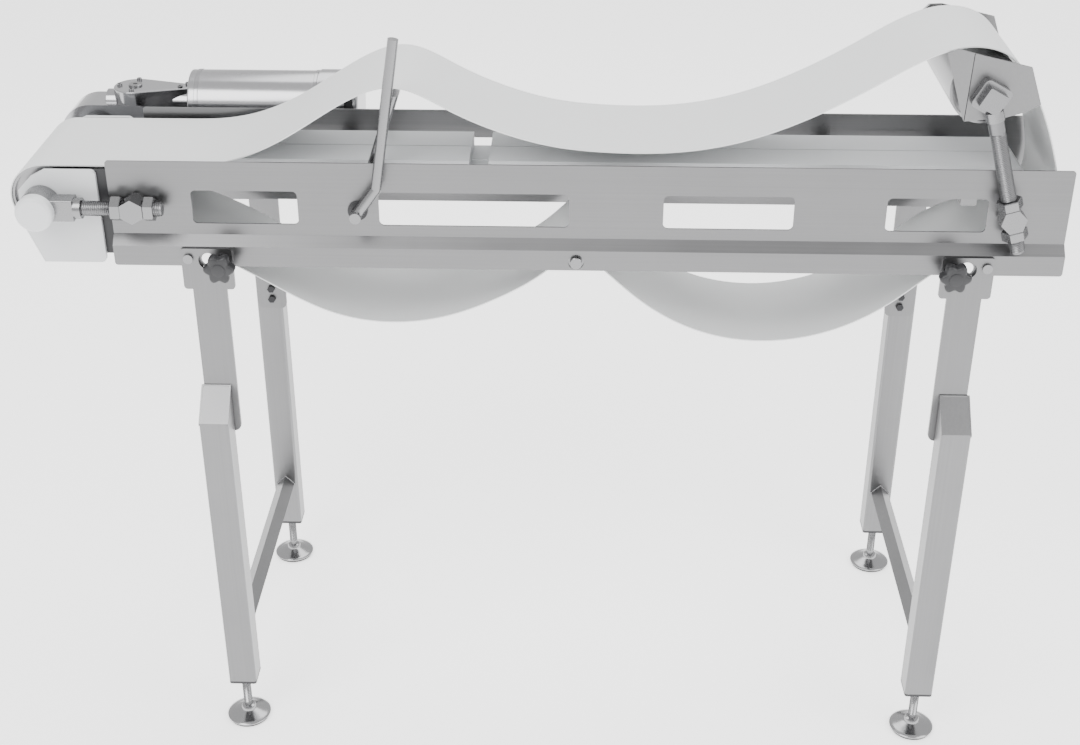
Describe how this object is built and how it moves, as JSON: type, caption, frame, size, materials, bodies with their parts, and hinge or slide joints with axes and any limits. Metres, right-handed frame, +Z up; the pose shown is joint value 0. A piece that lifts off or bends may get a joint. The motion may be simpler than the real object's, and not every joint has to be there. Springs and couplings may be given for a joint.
{
  "type": "belt conveyor section",
  "caption": "Stainless sanitary belt conveyor on two stands, tail end tipped up and belt lifted for cleaning.",
  "frame": {"origin": "floor point under the centre of the footprint", "axes": "+X along the conveyor towards the tail end, -Y towards the operator side, +Z up"},
  "size_m": [1.7021, 0.604, 1.3073],
  "materials": {
    "stainless": "brushed grain along the length",
    "stainless_stand": "satin ground tube",
    "turned_steel": "turned, semi-bright",
    "polished_steel": "polished",
    "guard_plastic": "matt off-white polyethylene",
    "strip_plastic": "matt light grey wear plastic",
    "cap_plastic": "smooth moulded white",
    "black_plastic": "moulded black",
    "belt_white": "smooth white coated belt",
    "black_steel": "blackened",
    "bearing_steel": "ground",
    "bronze": "machined bronze",
    "laminations": "stacked steel"
  },
  "bodies": {
    "frame": {"front_side_rail": "stainless", "rear_side_rail": "stainless", "bed_cross_members": "stainless", "slider_strips": "strip_plastic", "return_bar": "turned_steel", "head_swivels": "turned_steel", "head_lock_nuts": "turned_steel", "lifter_bushes": "black_plastic", "rear_standoffs": "stainless", "stand_pivot_pins": "turned_steel", "clamp_studs": "black_steel", "belt": "belt_white"},
    "head_carriage": {"head_rods": "turned_steel", "head_bearing_blocks": "turned_steel", "head_bearings": "bearing_steel", "head_end_cap": "cap_plastic", "head_guards": "guard_plastic", "head_slide_plates": "black_plastic", "gearbox_housing": "polished_steel", "gearbox_side_cover": "polished_steel", "gearbox_top_cover": "polished_steel", "gearbox_screws": "polished_steel", "gearbox_bearings": "bearing_steel", "motor_housing": "polished_steel", "motor_end_cap": "polished_steel", "motor_stator": "laminations"},
    "head_drum": {"head_pulley": "turned_steel", "head_shaft": "turned_steel", "head_gear": "turned_steel"},
    "layshaft": {"gear_layshaft": "bronze"},
    "worm": {"worm_shaft": "turned_steel", "motor_rotor": "laminations"},
    "tail_arm": {"tail_swivels": "turned_steel", "tail_lock_nuts": "turned_steel"},
    "tail_carriage": {"tail_rods": "turned_steel", "tail_shaft_blocks": "turned_steel", "tail_axle": "turned_steel", "tail_plate_front": "stainless", "tail_plate_rear": "stainless"},
    "tail_drum": {"tail_pulley": "turned_steel", "tail_bearings": "bearing_steel"},
    "lifter": {"belt_lifter": "turned_steel"},
    "left_stand": {"left_stand_plates": "stainless_stand", "left_stand_frame": "stainless_stand", "left_plate_bolts": "black_steel", "left_tube_plugs": "black_plastic", "left_foot_nuts": "turned_steel"},
    "left_front_levelling_foot": {"left_front_foot": "turned_steel"},
    "left_front_knob": {"left_front_clamp_knob": "black_plastic"},
    "left_rear_levelling_foot": {"left_rear_foot": "turned_steel"},
    "left_rear_knob": {"left_rear_clamp_knob": "black_plastic"},
    "right_stand": {"right_stand_plates": "stainless_stand", "right_stand_frame": "stainless_stand", "right_plate_bolts": "black_steel", "right_tube_plugs": "black_plastic", "right_foot_nuts": "turned_steel"},
    "right_front_levelling_foot": {"right_front_foot": "turned_steel"},
    "right_front_knob": {"right_front_clamp_knob": "black_plastic"},
    "right_rear_levelling_foot": {"right_rear_foot": "turned_steel"},
    "right_rear_knob": {"right_rear_clamp_knob": "black_plastic"}
  },
  "joints": [
    {"name": "head_take_up", "type": "slide", "parent": "frame", "child": "head_carriage", "axis": [-1, 0, 0], "range_m": [-0.015, 0]},
    {"name": "head_spin", "type": "hinge", "parent": "head_carriage", "child": "head_drum", "pos_m": [-0.794, -0.088, 1.024], "axis": [0, 1, 0], "continuous": true},
    {"name": "layshaft_spin", "type": "hinge", "parent": "head_carriage", "child": "layshaft", "pos_m": [-0.719, 0.126, 1.024], "axis": [0, 1, 0], "continuous": true},
    {"name": "worm_spin", "type": "hinge", "parent": "head_carriage", "child": "worm", "pos_m": [-0.719, 0.126, 1.076], "axis": [1, 0, 0], "continuous": true},
    {"name": "tail_tip", "type": "hinge", "parent": "frame", "child": "tail_arm", "pos_m": [0.755, -0.088, 1.024], "axis": [0, 1, 0], "range_deg": [0, 106.5], "deforming": ["belt"]},
    {"name": "tail_take_up", "type": "slide", "parent": "tail_arm", "child": "tail_carriage", "axis": [-0.284, 0, 0.9588], "range_m": [-0.006, 0]},
    {"name": "tail_spin", "type": "hinge", "parent": "tail_carriage", "child": "tail_drum", "pos_m": [0.69649, -0.088, 1.22152], "axis": [0, 1, 0], "continuous": true},
    {"name": "lifter_swing", "type": "hinge", "parent": "frame", "child": "lifter", "pos_m": [-0.284, -0.088, 1.016], "axis": [0, 1, 0], "range_deg": [0, 56.5]},
    {"name": "left_stand_tilt", "type": "hinge", "parent": "frame", "child": "left_stand", "pos_m": [-0.562, 0, 0.937], "axis": [0, 1, 0], "range_deg": [-5, 5]},
    {"name": "left_front_foot_height", "type": "slide", "parent": "left_stand", "child": "left_front_levelling_foot", "axis": [0, 0, 1], "range_m": [-0.02, 0.02]},
    {"name": "left_front_knob_turn", "type": "hinge", "parent": "frame", "child": "left_front_knob", "pos_m": [-0.506, -0.26, 0.933], "axis": [0, -1, 0], "continuous": true},
    {"name": "left_rear_foot_height", "type": "slide", "parent": "left_stand", "child": "left_rear_levelling_foot", "axis": [0, 0, 1], "range_m": [-0.02, 0.02]},
    {"name": "left_rear_knob_turn", "type": "hinge", "parent": "frame", "child": "left_rear_knob", "pos_m": [-0.506, 0.26, 0.933], "axis": [0, -1, 0], "continuous": true},
    {"name": "right_stand_tilt", "type": "hinge", "parent": "frame", "child": "right_stand", "pos_m": [0.728, 0, 0.937], "axis": [0, 1, 0], "range_deg": [-5, 5]},
    {"name": "right_front_foot_height", "type": "slide", "parent": "right_stand", "child": "right_front_levelling_foot", "axis": [0, 0, 1], "range_m": [-0.02, 0.02]},
    {"name": "right_front_knob_turn", "type": "hinge", "parent": "frame", "child": "right_front_knob", "pos_m": [0.672, -0.26, 0.933], "axis": [0, -1, 0], "continuous": true},
    {"name": "right_rear_foot_height", "type": "slide", "parent": "right_stand", "child": "right_rear_levelling_foot", "axis": [0, 0, 1], "range_m": [-0.02, 0.02]},
    {"name": "right_rear_knob_turn", "type": "hinge", "parent": "frame", "child": "right_rear_knob", "pos_m": [0.672, 0.26, 0.933], "axis": [0, -1, 0], "continuous": true}
  ],
  "couplings": [
    {"joint": "layshaft_spin", "follows": "head_spin", "ratio": -1},
    {"joint": "worm_spin", "follows": "head_spin", "ratio": 20}
  ]
}
